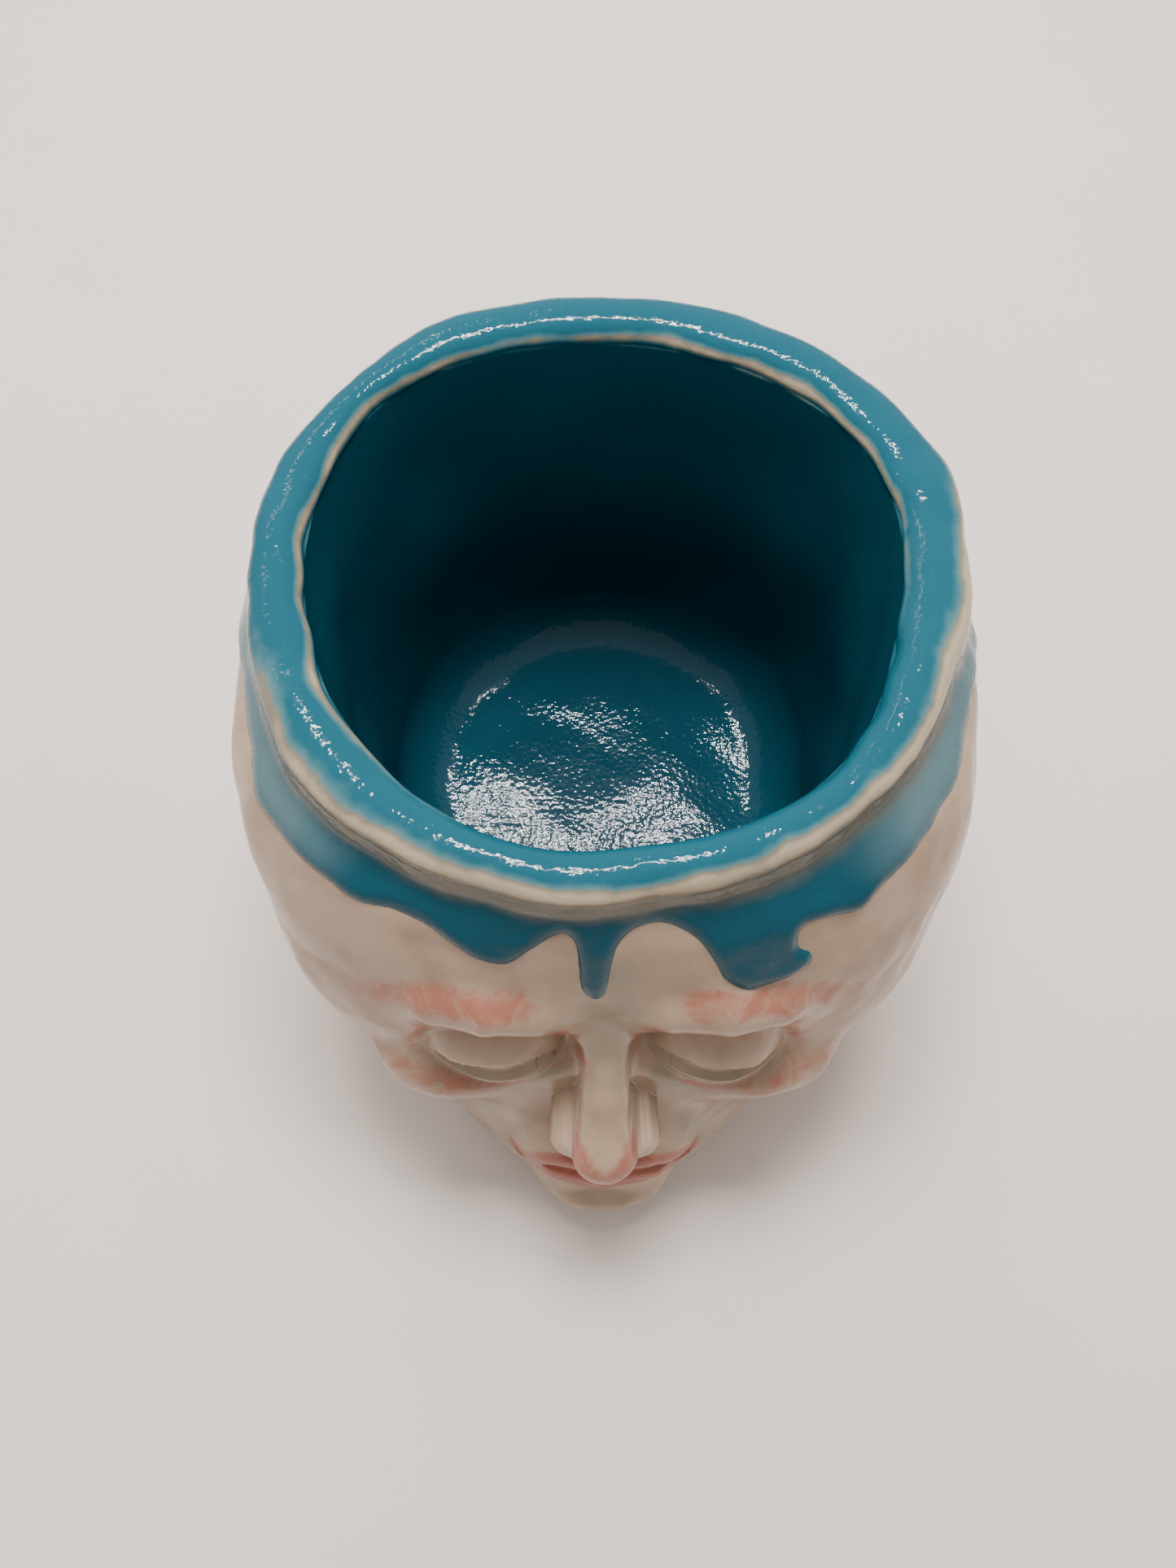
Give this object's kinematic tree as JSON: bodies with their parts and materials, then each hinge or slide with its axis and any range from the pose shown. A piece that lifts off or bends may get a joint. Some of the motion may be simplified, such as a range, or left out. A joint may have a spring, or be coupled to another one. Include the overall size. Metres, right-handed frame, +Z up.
{
  "type": "face_mug",
  "caption": "Hand-built ceramic tiki-style mug: a round cup with a head and a calm face on its front, teal glaze inside and running down from the rim.",
  "frame": {"origin": "centre of the round cup's underside, in the plane the mug stands on", "axes": "+Z up the cup, the face looks towards -Y, +X to the right of someone facing the mug"},
  "size_m": [0.0966, 0.1169, 0.076],
  "materials": {
    "clear_glazed_clay": "glossy clear glaze over buff clay, rubbed with a little red underglaze",
    "bare_clay": "unglazed fired buff clay",
    "pink_underglaze": "clear glaze over pink underglaze",
    "red_underglaze": "clear glaze over red-brown underglaze",
    "teal_glaze": "thick glossy teal glaze that breaks to tan on the edges"
  },
  "bodies": {
    "root": {"cup_wall": "clear_glazed_clay", "base_slab": "bare_clay", "corner_coil": "bare_clay", "face_mask": "clear_glazed_clay", "nose": "clear_glazed_clay", "nostril_wing_left": "clear_glazed_clay", "nostril_wing_right": "clear_glazed_clay", "brow_ridge_left": "clear_glazed_clay", "brow_ridge_right": "clear_glazed_clay", "eyeball_left": "clear_glazed_clay", "eyeball_right": "clear_glazed_clay", "upper_eyelid_left": "pink_underglaze", "upper_eyelid_right": "pink_underglaze", "lower_eyelid_left": "pink_underglaze", "lower_eyelid_right": "pink_underglaze", "cheekbone_left": "clear_glazed_clay", "cheekbone_right": "clear_glazed_clay", "upper_lip": "red_underglaze", "lower_lip": "red_underglaze", "chin": "clear_glazed_clay", "liner_glaze": "teal_glaze", "rim_glaze": "teal_glaze"}
  },
  "joints": []
}
